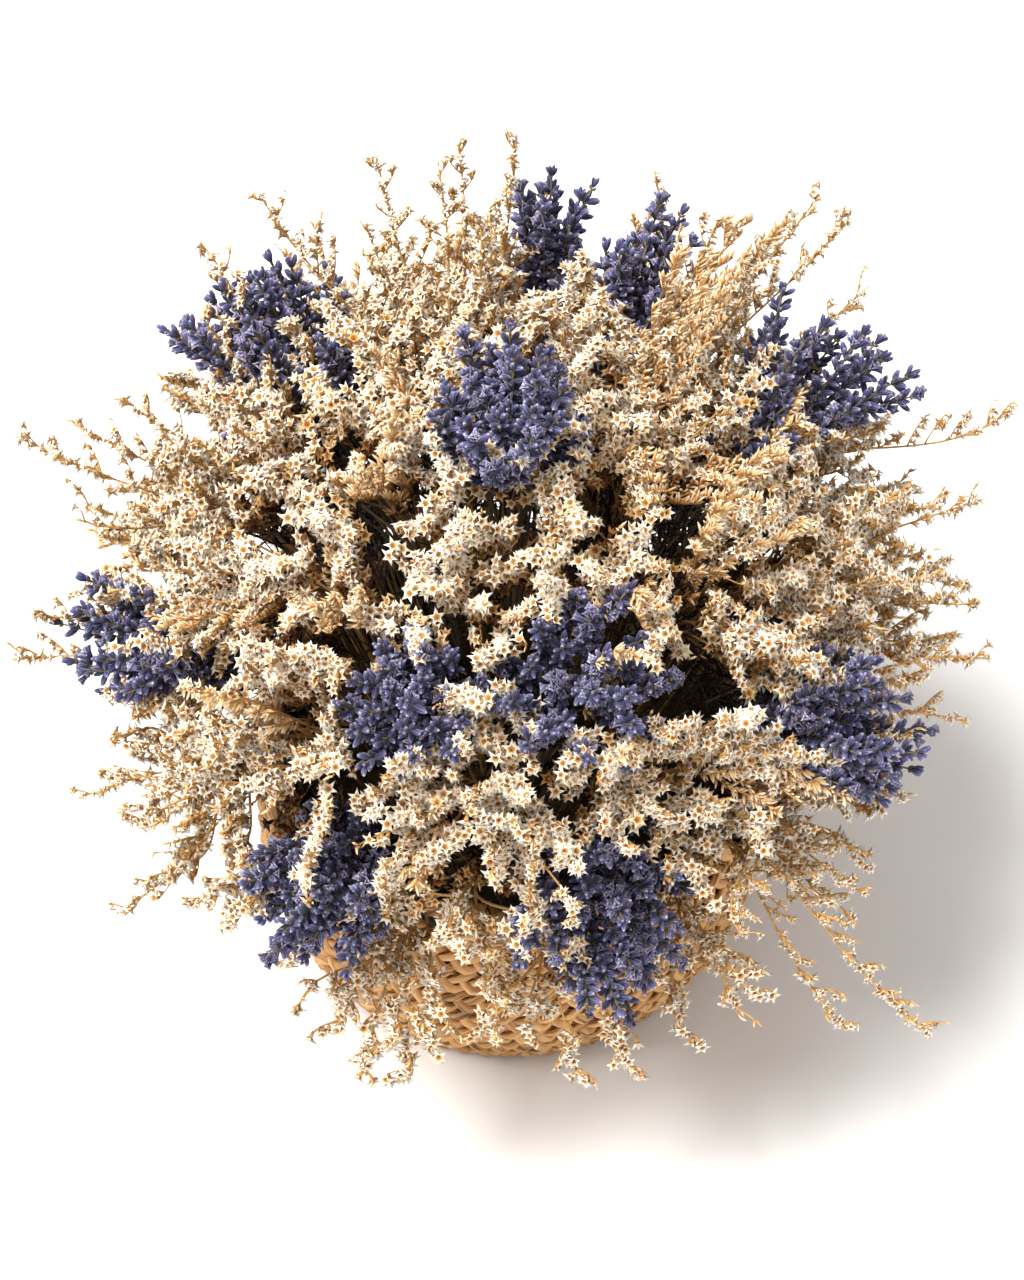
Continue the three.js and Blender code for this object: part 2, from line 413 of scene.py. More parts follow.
def plait(growth, radius, height, across, outward, sizes, lane, lanes):
    # One ring of plait. across and outward are directions in the plane of radius and height.
    turn, sway, wide, thick, lift = sizes
    sides = basket["sides"]
    waves = round(2 * math.pi * radius / turn)
    steps = waves * 12
    phi = np.arange(steps) * 2 * math.pi / steps
    start = chance.uniform(0, 6.3)
    for strand in range(3):
        p = waves * phi + strand * 2 * math.pi / 3 + start
        loose = 1 + basket["wander"] * np.sin(phi * 5 + strand * 2 + start)
        r = radius + across[0] * sway * np.sin(p) * loose + outward[0] * lift * np.sin(2 * p)
        z = height + across[1] * sway * np.sin(p) * loose + outward[1] * lift * np.sin(2 * p)
        path = np.stack([r * np.cos(phi), r * np.sin(phi), z], -1)
        tangent = unit(np.roll(path, -1, 0) - np.roll(path, 1, 0))
        facing = np.stack([outward[0] * np.cos(phi), outward[0] * np.sin(phi),
                           np.full(steps, outward[1])], -1)
        roll = basket["twist"] * np.cos(p)[:, None]
        facing = unit(facing - tangent * dot(facing, tangent))
        flat = np.cross(tangent, facing)
        facing, flat = (facing * np.cos(roll) + flat * np.sin(roll),
                        flat * np.cos(roll) - facing * np.sin(roll))
        around = np.arange(sides) * 2 * math.pi / sides
        swell = (1 + 0.1 * np.sin(phi * 23 + strand * 4 + start * 3))[:, None, None]
        ring = (flat[:, None] * np.cos(around)[:, None] * wide * swell
                + facing[:, None] * np.sin(around)[:, None] * thick
                * (1 + 0.12 * np.cos(4 * around))[:, None])
        points = (path[:, None] + ring).reshape(-1, 3)
        i, j = np.meshgrid(np.arange(steps), np.arange(sides), indexing="ij")
        nextI, nextJ = (i + 1) % steps, (j + 1) % sides
        quad = [i * sides + j, nextI * sides + j, nextI * sides + nextJ, i * sides + nextJ]
        u = [i / steps, (i + 1) / steps, (i + 1) / steps, i / steps]
        v = [(lane + strand + 0.06 + 0.88 * q / sides) / lanes for q in (j, j, j + 1, j + 1)]
        corners = [0, 1, 2, 0, 2, 3]
        faces = np.stack([quad[c] for c in corners], -1).reshape(-1, 3)
        uvs = np.stack([np.stack([u[c], v[c]], -1) for c in corners], -2).reshape(-1, 3, 2)
        growth.take(points, faces, uvs, 0)


def turned(growth, profile, finish):
    # A closed ring turned about the basket's axis from (radius, height) points.
    steps = 96
    phi = np.arange(steps) * 2 * math.pi / steps
    r, z = np.array(profile).T
    points = np.stack([r * np.cos(phi)[:, None], r * np.sin(phi)[:, None],
                       np.broadcast_to(z, (steps, len(r)))], -1).reshape(-1, 3)
    i, j = np.meshgrid(np.arange(steps), np.arange(len(r)), indexing="ij")
    n, nextI, nextJ = len(r), (i + 1) % steps, (j + 1) % len(r)
    quad = [i * n + j, nextI * n + j, nextI * n + nextJ, i * n + nextJ]
    faces = np.stack([quad[c] for c in (0, 1, 2, 0, 2, 3)], -1).reshape(-1, 3)
    uvs = np.full((len(faces), 3, 2), 0.5) + chance.uniform(-0.01, 0.01, (len(faces), 3, 2))
    growth.take(points, faces, uvs * [1, 0.04], finish)


def outerProfile(node):
    # The heights and outer radii of a node's rings.
    mesh = frame["nodes"][node].data
    points = np.empty(len(mesh.vertices) * 3)
    mesh.vertices.foreach_get("co", points)
    points = points.reshape(-1, 3)
    radius = np.linalg.norm(points[:, :2], axis=1)
    levels = np.unique(points[:, 2].round(5))
    return levels, np.array([radius[np.abs(points[:, 2] - z) < 1e-4].max() for z in levels])


wallLevels, wallRadii = outerProfile("basket_wall")
wallTop = rimLow[2] + 3 * mm
rowHigh = (wallTop - basket["foot"]) / basket["rows"]

growth = Growth()
lanes = basket["rows"] * 3 + 1
for row in range(basket["rows"]):
    height = basket["foot"] + (row + 0.5) * rowHigh
    under, edge, over = np.interp([height - 4 * mm, height, height + 4 * mm], wallLevels, wallRadii)
    across = unit(np.array([over - under, 8 * mm]))
    outward = np.array([across[1], -across[0]])
    radius = edge - (basket["thick"] + basket["lift"]) * 1.02
    sway = rowHigh / 2 - basket["wide"] * 0.62
    plait(growth, radius, height, across, outward,
          (basket["turn"], sway, basket["wide"], basket["thick"], basket["lift"]), 1 + row * 3, lanes)
# A core ring behind the plaits, in the near-black painted-shade finish.
zs = np.linspace(2 * mm, wallTop, 9)
outside = [(np.interp(z, wallLevels, wallRadii) - basket["coreInset"], z) for z in zs]
inside = [(r - basket["coreThick"], z) for r, z in outside[::-1]]
turned(growth, outside + inside, 1)
growth.piece("basketWall", [seagrassMaterial(lanes), coreShadeMaterial()], "seagrass", ["basket_wall"])

growth = Growth()
middle = (rimOuter - basket["rimInset"][0], rimTop - basket["rimInset"][1])
slant = unit(np.array(basket["rimSlant"]))
for sway, drop, lane in zip(basket["rimSways"], (0, 1), (1, 4)):
    plait(growth, middle[0] - drop * basket["rimDrop"][0], middle[1] - drop * basket["rimDrop"][1],
          slant, np.array([slant[1], -slant[0]]),
          (basket["rimTurn"], sway, basket["rimWide"], basket["rimThick"], basket["rimLift"]), lane, 7)
# A core ring inside the rim plaits, in the near-black painted-shade finish.
rimRound = np.arange(8) * math.pi / 4
turned(growth, [(middle[0] + basket["rimCore"] * math.cos(a),
                 middle[1] - basket["rimCoreDrop"] + basket["rimCore"] * math.sin(a))
                for a in rimRound], 1)
growth.piece("basketRim", [seagrassMaterial(7), coreShadeMaterial()], "seagrass", ["basket_rim"])

growth = Growth()
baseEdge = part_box("basket_base")[1][0]
rings = int(baseEdge / basket["baseRow"])
finer = basket["baseShare"]
for ring in range(rings):
    radius = baseEdge - (ring + 0.5) * baseEdge / rings
    plait(growth, max(radius, 6 * mm), basket["baseHeight"], np.array([1.0, 0.0]),
          np.array([0.0, -1.0]), (basket["turn"] * finer, basket["baseSway"], basket["wide"] * finer,
                                  basket["thick"], basket["lift"]), 1 + ring * 3, 1 + rings * 3)
# A core disc under the base plaits, in the near-black painted-shade finish.
turned(growth, [(0.5 * mm, 4 * mm), (baseEdge - 3 * mm, 4 * mm), (baseEdge - 3 * mm, 7 * mm),
                (0.5 * mm, 7 * mm)], 1)
growth.piece("basketBase", [seagrassMaterial(1 + rings * 3), coreShadeMaterial()], "seagrass",
             ["basket_base"])
print("basket plaited")


# Foam: a crumbled dry block that the stems are pushed into.

dryFoam = {
    # The foam's browns are near black: painted shade for the deep gaps under the flowers. The stains
    # between them vary at random.
    "dark": (0.035, 0.024, 0.012), "light": (0.085, 0.062, 0.030),
    "grid": 7 * mm, "crumble": 1.6 * mm, "crumbSize": 180,
}


def foamMaterial():
    bench = Bench("dryFoam")
    where = bench.node("ShaderNodeTexCoord", {}, {}, 3)
    crumbs = bench.noise(where, 380.0, 5.0, 0.7)
    stains = bench.noise(where, 40.0, 2.0, 0.5)
    colour = bench.ramp(stains, [(0.3, dryFoam["dark"]), (0.7, dryFoam["light"])])
    pits = bench.ramp(crumbs, [(0.35, (0.4, 0.38, 0.36)), (0.6, (1, 1, 1))])
    return bench.surface(Base_Color=bench.blend(1.0, colour, pits, "MULTIPLY"), Roughness=0.95,
                         Specular_IOR_Level=0.1, Normal=bench.bump(crumbs, 1.5 * mm, 0.9))


block = frame["nodes"]["foam_block"].data.copy()
shape = bmesh.new()
shape.from_mesh(block)
bmesh.ops.remove_doubles(shape, verts=shape.verts, dist=1e-6)
bmesh.ops.triangulate(shape, faces=shape.faces)
longEdges = [edge for edge in shape.edges if edge.calc_length() > dryFoam["grid"]]
bmesh.ops.subdivide_edges(shape, edges=longEdges, cuts=2, use_grid_fill=True)
for vertex in shape.verts:
    if vertex.co.z > foamTop - 1 * mm:
        vertex.co.z -= dryFoam["crumble"] * (noise.noise(vertex.co * dryFoam["crumbSize"]) + 1) * 0.5
bmesh.ops.triangulate(shape, faces=shape.faces)
shape.to_mesh(block)
shape.free()
block.materials.clear()
block.materials.append(foamMaterial())
foam = bpy.data.objects.new("foamBlock", block)
bpy.context.scene.collection.objects.link(foam)
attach(foam, "root")
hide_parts("foam_block")
print("foam laid")


# Statice: papery stars crowded along the upper side of spikes.

statice = {
    "lobeReach": 3.7 * mm, "notch": 1.4 * mm, "throat": 1.0 * mm, "tube": 3.6 * mm,
    "petalBand": (0.04, 0.5), "stemBand": (0.55, 0.72), "scaleBand": (0.76, 0.97),
    "cream": (0.96, 0.92, 0.84), "tan": (0.66, 0.42, 0.18), "throatBrown": (0.20, 0.075, 0.02),
    # The stalks' dark end is near black: painted shade for stems deep in the bunch. denseReach is where
    # painted shade by depth begins.
    "stalkTan": (0.72, 0.43, 0.15), "stalkShadeBrown": (0.025, 0.013, 0.006),
    "denseReach": 0.70, "stalks": 12, "stalkSpread": 5 * mm, "upright": 0.35,
}


def starShape(open, reach):
    # A five-lobed flower: funnel, lobes with a raised rib, back and tube in one closed skin.
    lobe = np.arange(5) * 2 * math.pi / 5
    notch = lobe + math.pi / 5
    tube, low = statice["tube"], statice["throat"]
    rings = [
        (low, tube - 0.2 * mm, notch, 0.3), (statice["notch"], tube + 0.1 * mm, notch, 0.5),
        (reach * 0.5, tube + (1 - open) * reach * 0.3, lobe, 0.38),
        (reach * (0.35 + 0.65 * open), tube + (0.1 * mm + (1 - open) * reach * 0.8), lobe, 1.0),
        (low * 0.9, tube - 1.3 * mm, lobe, 0.12), (low * 0.5, 0.0, lobe, 0.0)]
    points = [(0, 0, tube - 1.7 * mm)]
    along, across = [0.2], [0.5]
    for r, z, at, share in rings:
        points += [(r * math.cos(a), r * math.sin(a), z) for a in at]
        along += [share] * 5
        across += list(at / (2 * math.pi))
    points.append((0, 0, 0))
    along.append(0)
    across.append(0.5)
    faces = []
    for i in range(5):
        j, k = (i + 1) % 5, (i - 1) % 5
        faces += [(0, 1 + k, 1 + i), (1 + k, 6 + k, 11 + i), (1 + k, 11 + i, 1 + i),
                  (1 + i, 11 + i, 6 + i), (6 + k, 16 + i, 11 + i), (11 + i, 16 + i, 6 + i),
                  (16 + i, 6 + k, 21 + i), (6 + i, 16 + i, 21 + i), (6 + i, 21 + i, 21 + j),
                  (21 + i, 26 + i, 26 + j), (21 + i, 26 + j, 21 + j), (31, 26 + j, 26 + i)]
    return {"points": np.array(points), "faces": np.array(faces),
            "along": np.array(along), "across": np.array(across)}


petalFinish, stemFinish, scaleFinish = 0, 1, 2
openStar = band(starShape(1.0, statice["lobeReach"]), *statice["petalBand"], petalFinish)
halfStar = band(starShape(0.55, statice["lobeReach"]), *statice["petalBand"], petalFinish)
closedStar = band(wrap([(0, 0.3 * mm, 0), (1.2 * mm, 0.6 * mm, 0.3), (2.8 * mm, 0.55 * mm, 0.6),
                        (4.2 * mm, 0.12 * mm, 1)], 3), *statice["scaleBand"], scaleFinish)
scale = band(wrap([(0, 0.35 * mm, 0), (1.1 * mm, 0.55 * mm, 0.4), (2.6 * mm, 0.05 * mm, 0.8)], 3),
             *statice["scaleBand"], scaleFinish)


def petalMaterial():
    bench = Bench("staticePaper")
    place, u, _, toneAndShading = bench.lanes(statice["petalBand"])
    length = bench.ramp(u, [(0, (0.45, 0.25, 0.09)), (0.12, statice["tan"]),
                            (0.2, statice["throatBrown"]), (0.3, (0.50, 0.28, 0.11)),
                            (0.38, (0.90, 0.76, 0.56)), (0.5, statice["cream"]),
                            (1, (0.98, 0.965, 0.93))])
    # Painted shade: lanes run from white through warm tan, a tone that varies at random, down to near
    # black for stars that lie deep in the bunch.
    shade = bench.ramp(toneAndShading, [(0, (1.05, 1.05, 1.05)), (0.25, (1.02, 0.96, 0.85)),
                              (0.45, (0.90, 0.67, 0.37)), (0.65, (0.40, 0.21, 0.075)),
                              (0.9, (0.03, 0.014, 0.006))])
    fleck = bench.noise(bench.stretched(place, (30, 90, 1)), 3.0)
    tone = bench.ramp(fleck, [(0.3, (0.86, 0.82, 0.76)), (0.6, (1, 1, 1))])
    colour = bench.blend(1.0, bench.blend(1.0, length, shade, "MULTIPLY"), tone, "MULTIPLY")
    return bench.surface(Base_Color=colour, Roughness=0.75, Specular_IOR_Level=0.25)


def stalkMaterial(name, limits, tan, brownAndShade):
    bench = Bench(name)
    place, _, _, toneAndShading = bench.lanes(limits)
    grain = bench.noise(bench.stretched(place, (14, 160, 1)), 3.0)
    tone = bench.ramp(grain, [(0.3, (0.6, 0.55, 0.5)), (0.65, (1, 1, 1))])
    # Lanes blend from tan to the near-black end: painted shade for stems deep in the bunch, and tone
    # that varies at random for the rest.
    colour = bench.blend(toneAndShading, (*tan, 1), (*brownAndShade, 1))
    return bench.surface(Base_Color=bench.blend(1.0, colour, tone, "MULTIPLY"),
                         Roughness=0.7, Specular_IOR_Level=0.3)


def scaleMaterial():
    bench = Bench("staticeScale")
    _, u, _, toneAndShading = bench.lanes(statice["scaleBand"])
    length = bench.ramp(u, [(0, (0.58, 0.32, 0.12)), (0.4, (0.80, 0.56, 0.30)),
                            (0.75, (0.94, 0.80, 0.58)), (1, (0.98, 0.94, 0.86))])
    # Painted shade: lanes run from cream through tan, a tone that varies at random, down to near black
    # for scales that lie deep in the bunch.
    shade = bench.ramp(toneAndShading, [(0, (1, 0.98, 0.94)), (0.45, (0.82, 0.60, 0.36)),
                              (0.9, (0.04, 0.02, 0.01))])
    return bench.surface(Base_Color=bench.blend(1.0, length, shade, "MULTIPLY"),
                         Roughness=0.75, Specular_IOR_Level=0.25)


staticeFinishes = [petalMaterial(),
                   stalkMaterial("staticeStalk", statice["stemBand"], statice["stalkTan"],
                                 statice["stalkShadeBrown"]), scaleMaterial()]


def depthOf(points):
    # How deep a point lies under the dense flowers: 0 at their surface, 1 at the middle.
    # Lanes are pushed darker by this depth: painted shade for things that lie deep in the bunch.
    out = np.linalg.norm(points - ballMiddle, axis=-1) / ballRadius
    return np.clip(1 - out / statice["denseReach"], 0, 1)


def flowersOn(growth, paths, style):
    # Stars in two rows along the outer side of many spikes, closing towards the tips.
    pitch, keep, openShare = style["pitch"], style["keep"], style["open"]
    number, steps = paths.shape[:2]
    run = np.linalg.norm(np.diff(paths, axis=1), axis=2).sum(1)
    count = max(2, int(run.max() / pitch))
    share = np.linspace(0.12, 0.99, count)
    place = share * (steps - 1)
    first = np.minimum(place.astype(int), steps - 2)
    part = (place - first)[None, :, None]
    points = paths[:, first] * (1 - part) + paths[:, first + 1] * part
    tangent = unit(paths[:, first + 1] - paths[:, first])
    outward = unit(points - ballMiddle)
    over = unit(outward - tangent * dot(outward, tangent) * 0.8)
    aside = np.cross(tangent, over)
    wanted = run[:, None] / pitch / count * keep
    for row in (-1, 1):
        swing = row * chance.uniform(0.15, 0.95, (number, count, 1))
        axis = unit(over * np.cos(swing) + aside * np.sin(swing) + tangent * 0.35
                    + chance.normal(0, 0.26, points.shape))
        there = chance.random((number, count)) < wanted
        closing = share[None] + chance.normal(0, 0.08, (number, count))
        kinds = np.where(closing > openShare, 2, np.where(chance.random((number, count)) < 0.25, 1, 0))
        foot = points + tangent * chance.uniform(-0.5, 0.5, (number, count, 1)) * pitch
        for kind, shape in enumerate((openStar, halfStar, closedStar)):
            these = there & (kinds == kind)
            many = int(these.sum())
            # Tone varies at random about the style's value, and depth adds painted shade.
            toneAndShading = chance.normal(style["toneAndShading"], 0.14, many) + depthOf(foot[these]) * 3
            growth.copies(shape, foot[these], axis[these], chance.uniform(0, 6.3, many),
                          chance.uniform(0.84, 1.12, many) * style["size"], np.clip(toneAndShading, 0, 1))
        lower = unit(over * 0.35 + aside * row * 0.5 + tangent)
        these = chance.random((number, count)) < wanted * 0.6
        many = int(these.sum())
        # Scales: tone varies at random, and depth adds painted shade.
        toneAndShading = chance.normal(0.2, 0.15, many) + depthOf(points[these]) * 3
        growth.copies(scale, points[these], lower[these], chance.uniform(0, 6.3, many),
                      chance.uniform(0.8, 1.3, many), np.clip(toneAndShading, 0, 1))


def growBranch(growth, curve, style):
    # A branch that carries spikes beyond its bare length.
    run = np.concatenate([[0], np.cumsum(np.linalg.norm(np.diff(curve, axis=0), axis=1))])
    count = max(3, int(run[-1] * (1 - style["bare"]) / style["gap"]))
    share = np.linspace(style["bare"], 0.98, count) + chance.normal(0, 0.01, count)
    foot = pick(curve, run, share * run[-1])
    tangent = unit(pick(np.gradient(curve, axis=0), run, share * run[-1]))
    outward = unit(foot - ballMiddle)
    upper = unit(outward + [0, 0, style["upward"]])
    aside = unit(np.cross(tangent, upper))
    sign = np.where(np.arange(count) % 2, 1.0, -1.0)[:, None]
    lean = chance.uniform(*style["lean"], (count, 1))
    fan = chance.uniform(*style["fan"], (count, 1))
    away = unit(aside * sign * np.sin(fan) + upper * np.cos(fan))
    away = unit(away - tangent * dot(away, tangent))
    direction = unit(tangent * np.cos(lean) + away * np.sin(lean))
    taper = 1 - style["taper"] * ((share - style["bare"]) / (1 - style["bare"]))[:, None]
    length = style["spike"] * taper * chance.uniform(0.7, 1.25, (count, 1))
    bend = unit(upper + tangent * 0.6) * length * chance.uniform(*style["bend"], (count, 1))
    spikes = bezier(foot, foot + direction * length * 0.4, foot + direction * length * 0.7 + bend * 0.3,
                    foot + direction * length * 0.9 + bend, 6)
    tip = bezier(curve[-4], curve[-3], curve[-2], curve[-1], 6)[None]
    spikes = np.concatenate([spikes, tip])
    # Spike stems: tone varies at random, and depth and the style's dark value add painted shade.
    shade = np.clip(chance.normal(0.15, 0.12, count + 1) + depthOf(spikes[:, 0]) * 1.6
                    + style["dark"], 0, 1)
    thick = np.linspace(0.42, 0.25, 6)[None] * mm * np.ones((count + 1, 1))
    growth.tubes(spikes, thick, 3, shade, (*statice["stemBand"], stemFinish))
    thick = np.linspace(style["stalk"], 0.35 * mm, len(curve))[None]
    # The branch stem darkens with depth and the style's dark value: painted shade.
    growth.tubes(curve[None], thick, 5, np.clip(depthOf(curve[5:6]) * 1.3 + 0.15 + style["dark"], 0, 1),
                 (*statice["stemBand"], stemFinish))
    flowersOn(growth, spikes, style)


# Dense tufts make the round of the bouquet and flowing sprays its sides. Plumes of shut flowers
# lie between them, strands hang over the rim, shorter skirting fills in above it, wisps stand
# out, and twigs darkened to near black as painted shade fill the middle. Lifts are degrees above
# level, and reach is a share of the ball. A style's branches are left out where a slow noise is
# under its thin value. Its dark value adds painted shade to its stems.
tuft = {"count": 225, "lifts": (12, 90), "reach": (0.69, 0.80), "bare": 0.66, "gap": 5.2 * mm,
        "spike": 20 * mm, "taper": 0.35, "lean": (0.7, 1.4), "fan": (0.3, 2.4), "bend": (0.1, 0.35),
        "upward": 0.0, "pitch": 3.0 * mm, "keep": 0.85, "open": 0.97, "toneAndShading": 0.12, "size": 1.0,
        "stalk": 0.7 * mm, "dark": 0.0, "thin": -0.30, "thinFront": 0.26}
flow = {**tuft, "count": 120, "lifts": (-6, 40), "reach": (0.72, 0.87), "bare": 0.42, "gap": 6 * mm,
        "spike": 21 * mm, "taper": 0.45, "lean": (0.45, 0.95), "fan": (0.2, 1.7), "open": 0.94,
        "toneAndShading": 0.14, "thin": -1}
plume = {**tuft, "count": 14, "lifts": (5, 80), "reach": (0.76, 0.86), "bare": 0.4, "gap": 5 * mm,
         "spike": 21 * mm, "taper": 0.6, "lean": (0.45, 0.8), "fan": (0.6, 1.6), "pitch": 2.2 * mm,
         "keep": 1.3, "open": -1, "toneAndShading": 0.10, "size": 1.1}
strand = {**tuft, "count": 66, "lifts": (-30, -5), "reach": (0.74, 0.88), "bare": 0.4,
          "gap": 6.4 * mm, "spike": 13 * mm, "taper": 0.35, "lean": (0.6, 1.15), "fan": (0.3, 1.6),
          "bend": (0.0, 0.25), "upward": 0.2, "keep": 0.85, "open": 0.93}
skirting = {**flow, "count": 90, "lifts": (-30, 6), "reach": (0.58, 0.74), "bare": 0.25,
            "toneAndShading": 0.25}
wisp = {**tuft, "count": 44, "lifts": (-15, 62), "reach": (0.88, 1.0), "bare": 0.30, "gap": 7.5 * mm,
        "spike": 19 * mm, "taper": 0.62, "lean": (0.75, 1.15), "fan": (0.0, 0.8), "bend": (0.15, 0.4),
        "upward": 0.9, "pitch": 3.3 * mm, "keep": 0.72, "open": 0.9, "size": 0.78, "toneAndShading": 0.08}
# Twigs take a dark lane and a dark value: painted shade in the middle of the bunch.
twig = {**tuft, "count": 240, "lifts": (-25, 85), "reach": (0.40, 0.60), "bare": 0.2, "gap": 4 * mm,
        "spike": 30 * mm, "lean": (0.5, 1.3), "fan": (0.0, 3.1), "keep": 0.12, "open": -1,
        "toneAndShading": 0.8, "dark": 0.6}

staticeNames = [name for name in spines if name.startswith("statice")]
staticeWays = np.array([unit(spines[name][-1] - ballMiddle) for name in staticeNames])


def wayTo(heading, lift):
    heading, lift = math.radians(heading), math.radians(lift)
    return np.array([math.cos(lift) * math.cos(heading), math.cos(lift) * math.sin(heading),
                     math.sin(lift)])


# Each bunch's heading, lift and reach as a share of the ball, its half width, its stems and how
# far its heads stand one behind another. From the third bunch on, the headings and lifts began
# as a helper program's output and were then moved by hand.
lavenderLooks = {
    "lavender_bunch_01": (70, -22, 0.95, 30 * mm, 24, 30 * mm),
    "lavender_bunch_02": (122, -22, 0.95, 30 * mm, 24, 30 * mm),
    "lavender_bunch_03": (240, 3, 0.93, 29 * mm, 32, 44 * mm),
    "lavender_bunch_04": (283, 5, 0.91, 37 * mm, 30, 34 * mm),
    "lavender_bunch_05": (196, 19, 0.96, 25 * mm, 27, 36 * mm),
    "lavender_bunch_06": (325, 19, 0.96, 31 * mm, 25, 34 * mm),
    "lavender_bunch_07": (18, 43, 1.0, 36 * mm, 20, 52 * mm),
    "lavender_bunch_08": (82, 54, 0.97, 19 * mm, 15, 30 * mm),
    "lavender_bunch_09": (146, 44, 0.96, 35 * mm, 32, 56 * mm),
    "lavender_bunch_10": (251, 39, 0.86, 27 * mm, 22, 24 * mm),
    "lavender_bunch_11": (284, 43, 0.86, 36 * mm, 24, 24 * mm),
    "lavender_bunch_12": (56, 58, 0.97, 17 * mm, 12, 28 * mm),
    "lavender_bunch_13": (268, 80, 0.96, 29 * mm, 27, 30 * mm),
}
lavenderWays = np.array([wayTo(heading, lift) for heading, lift, *rest in lavenderLooks.values()])
keepOff = [wide / (reach * ballRadius) * (0.95 if reach < 0.9 else 0.6)
           for heading, lift, reach, wide, *rest in lavenderLooks.values()]


def spreadOver(style, offset):
    # Evenly spread directions between two lifts, moved off the lavender.
    low, high = (math.sin(math.radians(lift)) for lift in style["lifts"])
    k = np.arange(style["count"]) + 0.5
    z = high - (high - low) * k / style["count"]
    turn = k * golden + offset
    r = np.sqrt(1 - z * z)
    ways = np.stack([r * np.cos(turn), r * np.sin(turn), z], -1)
    ways = unit(ways + chance.normal(0, 0.03, ways.shape))
    clumps = np.array([noise.noise(Vector(way) * 3.4 + Vector((offset, 0, 0))) for way in ways])
    ways = ways[clumps > style["thin"] - style["thinFront"] * np.minimum(ways[:, 1], 0)]
    for i, way in enumerate(ways):
        other = lavenderWays[(lavenderWays @ way).argmax()]
        free = keepOff[(lavenderWays @ way).argmax()]
        if way @ other > math.cos(free):
            off = unit(way - other * (way @ other))
            ways[i] = other * math.cos(free) + off * math.sin(free)
    return ways


def growSpray(name, wanted):
    growth = Growth()
    path = smoothPath(spines[name], 28)
    tangent = unit(np.gradient(path, axis=0))
    arrive = unit(path[-1] - path[-5])
    for way, style in wanted:
        end = ballMiddle + way * ballRadius * chance.uniform(*style["reach"])
        at = int(chance.uniform(0.48, 0.66) * len(path))
        length = np.linalg.norm(end - path[at])
        last = unit(arrive * 0.6 + way + chance.normal(0, 0.12, 3))
        curve = bezier(path[at], path[at] + tangent[at] * length * 0.4,
                       end - last * length * 0.35, end, 14)
        growBranch(growth, curve, style)
    # The main stem takes a dark lane: painted shade low in the bunch.
    growth.tubes(path[None, :20], np.linspace(1.3, 0.9, 20)[None] * mm, 6, np.array([0.75]),
                 (*statice["stemBand"], stemFinish))
    # Thin bare stalks that stand round the stem, in darker lanes as painted shade.
    if arrive[2] > statice["upright"]:
        many = statice["stalks"]
        part = np.linspace(0, 1, 12)[None, :, None]
        aside = (chance.normal(0, 1, (many, 1, 3)) * [1, 1, 0.3] * statice["stalkSpread"]
                 * (0.4 + part))
        growth.tubes(path[None, 2:14] + aside, np.full((many, 12), 0.5 * mm), 4,
                     chance.uniform(0.5, 0.95, many), (*statice["stemBand"], stemFinish))
    return growth


# Long wisps that stand clear of the round: heading, lift and reach as a share of the ball.
# These rows were worked out by a helper program, all but the last five.
longWisps = [
    (163, 13, 1.09), (183, -2, 1.02), (219, -7, 1.0), (208, 1, 0.95), (192, 16, 0.98),
    (185, 26, 0.94), (170, 35, 0.94), (173, 30, 1.0), (139, 51, 1.03), (149, 46, 1.01),
    (118, 56, 1.0), (89, 61, 1.02), (109, 64, 0.99), (34, 49, 1.09), (33, 52, 0.96),
    (30, 46, 1.09), (19, 14, 1.12), (0, 23, 1.0), (348, 18, 0.97), (344, 13, 0.98),
    (317, -3, 0.93), (313, -9, 1.2), (308, -12, 1.08), (299, -14, 0.94), (243, -11, 0.93),
    (110, 80, 1.0), (20, 83, 0.99), (95, 8, 1.02), (70, 20, 1.0), (120, 15, 1.01),
]
# Longer strands that hang over the front of the rim. The helper program gave the first four.
longStrands = [(285, -19, 0.95), (278, -18, 0.94), (256, -21, 0.95), (251, -21, 0.97), (254, -18, 0.90),
               (259, -20, 0.89), (247, -17, 0.90), (265, -18, 0.86), (292, -16, 0.90), (301, -12, 0.92)]
wanted = {name: [] for name in staticeNames}
styles = (tuft, flow, plume, strand, skirting, wisp, twig)
for offset, style in enumerate(styles):
    for way in spreadOver(style, offset):
        wanted[staticeNames[(staticeWays @ way).argmax()]].append((way, style))
# Golden plumes that show their sides. The helper program gave all of these but the last.
sidePlumes = [(215, 70, 0.86), (223, 63, 0.84), (339, 55, 0.90), (325, 55, 0.87), (297, 50, 0.86),
              (290, 45, 0.85), (225, 31, 0.92), (313, 18, 0.90), (30, 68, 0.96), (35, 58, 1.0),
              (18, 64, 0.95), (331, 46, 0.90), (232, 46, 0.86), (40, 45, 0.98)]
for style, chosen in ((wisp, longWisps), (plume, sidePlumes), (strand, longStrands)):
    for heading, lift, share in chosen:
        way = wayTo(heading, lift)
        nearest = staticeNames[(staticeWays @ way).argmax()]
        wanted[nearest].append((way, {**style, "reach": (share, share)}))
for name in staticeNames:
    growth = growSpray(name, wanted[name])
    growth.piece(name.replace("statice_spray", "staticeSpray"), staticeFinishes, "statice", [name])
print("statice grown")


# Lavender: whorls of ribbed buds round thin stems.

lavender = {
    "budBand": (0.04, 0.5), "stemBand": (0.55, 0.72), "bractBand": (0.76, 0.97),
    "whorls": 6, "buds": 6,
}

